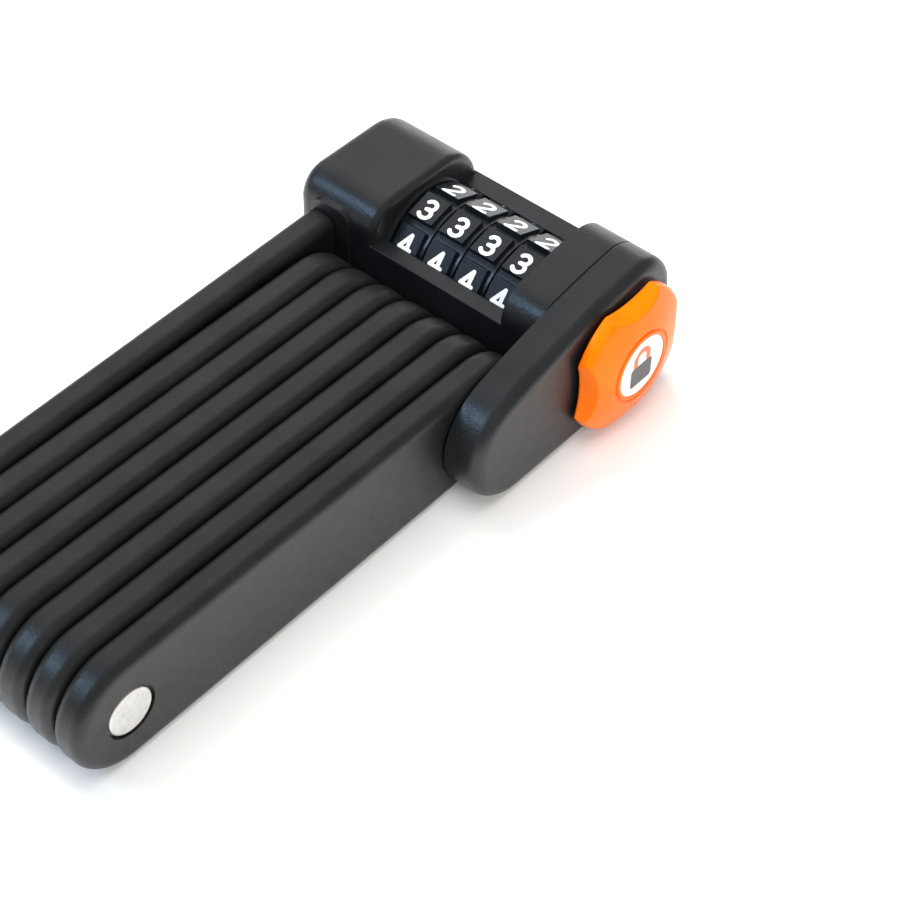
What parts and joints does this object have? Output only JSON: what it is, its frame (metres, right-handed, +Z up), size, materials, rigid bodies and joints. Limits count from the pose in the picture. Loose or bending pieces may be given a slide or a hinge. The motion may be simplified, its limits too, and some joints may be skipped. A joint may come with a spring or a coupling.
{
  "type": "folding bike lock",
  "caption": "Folding bike lock: sleeved steel links riveted into a zigzag stack, with a dial-combination head and a turn knob.",
  "frame": {"origin": "middle of the bounding box at the level of the surface it lies on, with the lock folded", "axes": "+X across the stack of links towards the knob, +Y along the links towards the dial head, +Z up"},
  "size_m": [0.076, 0.1492, 0.0322],
  "materials": {
    "head_black": "satin black moulded shell with a fine grain",
    "sleeve_black": "satin black plastic sleeve over the steel plate",
    "dial_black": "semi-gloss blue-black with white digits",
    "knob_orange": "bright orange, satin gloss",
    "badge_white": null,
    "link_steel": "hardened steel plate, bare",
    "rivet_steel": "satin silver rivet",
    "bright_steel": "turned steel",
    "dark_screw_steel": "blackened steel",
    "ring_brass": "machined brass",
    "seal_rubber": "black rubber ring"
  },
  "bodies": {
    "head": {"lock_body": "head_black", "end_cheek": "head_black", "cheek_screws": "dark_screw_steel", "cheek_dowels": "bright_steel", "knob_seal": "seal_rubber", "detent_balls": "bright_steel", "detent_springs": "bright_steel", "rivet_0": "rivet_steel", "washer_0": "link_steel"},
    "knob_assembly": {"knob": "knob_orange", "knob_badge": "badge_white", "knob_screw": "dark_screw_steel", "spindle": "bright_steel", "spindle_clip": "bright_steel"},
    "dial_wheel_1": {"dial_1": "dial_black", "code_ring_1": "ring_brass"},
    "dial_wheel_2": {"dial_2": "dial_black", "code_ring_2": "ring_brass"},
    "dial_wheel_3": {"dial_3": "dial_black", "code_ring_3": "ring_brass"},
    "dial_wheel_4": {"dial_4": "dial_black", "code_ring_4": "ring_brass"},
    "link_a": {"sleeve_a": "sleeve_black", "plate_a": "link_steel", "rivet_1": "rivet_steel", "washer_1": "link_steel"},
    "link_b": {"sleeve_b": "sleeve_black", "plate_b": "link_steel", "rivet_2": "rivet_steel", "washer_2": "link_steel"},
    "link_c": {"sleeve_c": "sleeve_black", "plate_c": "link_steel", "rivet_3": "rivet_steel", "washer_3": "link_steel"},
    "link_d": {"sleeve_d": "sleeve_black", "plate_d": "link_steel", "rivet_4": "rivet_steel", "washer_4": "link_steel"},
    "link_e": {"sleeve_e": "sleeve_black", "plate_e": "link_steel", "rivet_5": "rivet_steel", "washer_5": "link_steel"},
    "link_f": {"sleeve_f": "sleeve_black", "plate_f": "link_steel", "rivet_6": "rivet_steel", "washer_6": "link_steel"},
    "link_g": {"sleeve_g": "sleeve_black", "plate_g": "link_steel", "rivet_7": "rivet_steel", "washer_7": "link_steel"},
    "link_h": {"sleeve_h": "sleeve_black", "plate_h": "link_steel"}
  },
  "joints": [
    {"name": "fold_a", "type": "hinge", "parent": "head", "child": "link_a", "pos_m": [0, 0.029, 0.0122], "axis": [1, 0, 0], "range_deg": [0, 90]},
    {"name": "fold_b", "type": "hinge", "parent": "link_a", "child": "link_b", "pos_m": [0, -0.0624, 0.0122], "axis": [1, 0, 0], "range_deg": [-180, 0]},
    {"name": "fold_c", "type": "hinge", "parent": "link_b", "child": "link_c", "pos_m": [0, 0.029, 0.0122], "axis": [1, 0, 0], "range_deg": [0, 180]},
    {"name": "fold_d", "type": "hinge", "parent": "link_c", "child": "link_d", "pos_m": [0, -0.0624, 0.0122], "axis": [1, 0, 0], "range_deg": [-180, 0]},
    {"name": "fold_e", "type": "hinge", "parent": "link_d", "child": "link_e", "pos_m": [0, 0.029, 0.0122], "axis": [1, 0, 0], "range_deg": [0, 180]},
    {"name": "fold_f", "type": "hinge", "parent": "link_e", "child": "link_f", "pos_m": [0, -0.0624, 0.0122], "axis": [1, 0, 0], "range_deg": [-180, 0]},
    {"name": "fold_g", "type": "hinge", "parent": "link_f", "child": "link_g", "pos_m": [0, 0.029, 0.0122], "axis": [1, 0, 0], "range_deg": [0, 180]},
    {"name": "fold_h", "type": "hinge", "parent": "link_g", "child": "link_h", "pos_m": [0, -0.0624, 0.0122], "axis": [1, 0, 0], "range_deg": [-180, 0]},
    {"name": "knob_turn", "type": "hinge", "parent": "head", "child": "knob_assembly", "pos_m": [0, 0.058, 0.0153], "axis": [1, 0, 0], "range_deg": [0, 90]},
    {"name": "dial_1_spin", "type": "hinge", "parent": "head", "child": "dial_wheel_1", "pos_m": [0, 0.058, 0.0153], "axis": [1, 0, 0], "continuous": true},
    {"name": "dial_2_spin", "type": "hinge", "parent": "head", "child": "dial_wheel_2", "pos_m": [0, 0.058, 0.0153], "axis": [1, 0, 0], "continuous": true},
    {"name": "dial_3_spin", "type": "hinge", "parent": "head", "child": "dial_wheel_3", "pos_m": [0, 0.058, 0.0153], "axis": [1, 0, 0], "continuous": true},
    {"name": "dial_4_spin", "type": "hinge", "parent": "head", "child": "dial_wheel_4", "pos_m": [0, 0.058, 0.0153], "axis": [1, 0, 0], "continuous": true}
  ],
  "couplings": [
    {"joint": "fold_b", "follows": "fold_a", "ratio": -2},
    {"joint": "fold_c", "follows": "fold_a", "ratio": 2},
    {"joint": "fold_d", "follows": "fold_a", "ratio": -2},
    {"joint": "fold_e", "follows": "fold_a", "ratio": 2},
    {"joint": "fold_f", "follows": "fold_a", "ratio": -2},
    {"joint": "fold_g", "follows": "fold_a", "ratio": 2},
    {"joint": "fold_h", "follows": "fold_a", "ratio": -2}
  ]
}
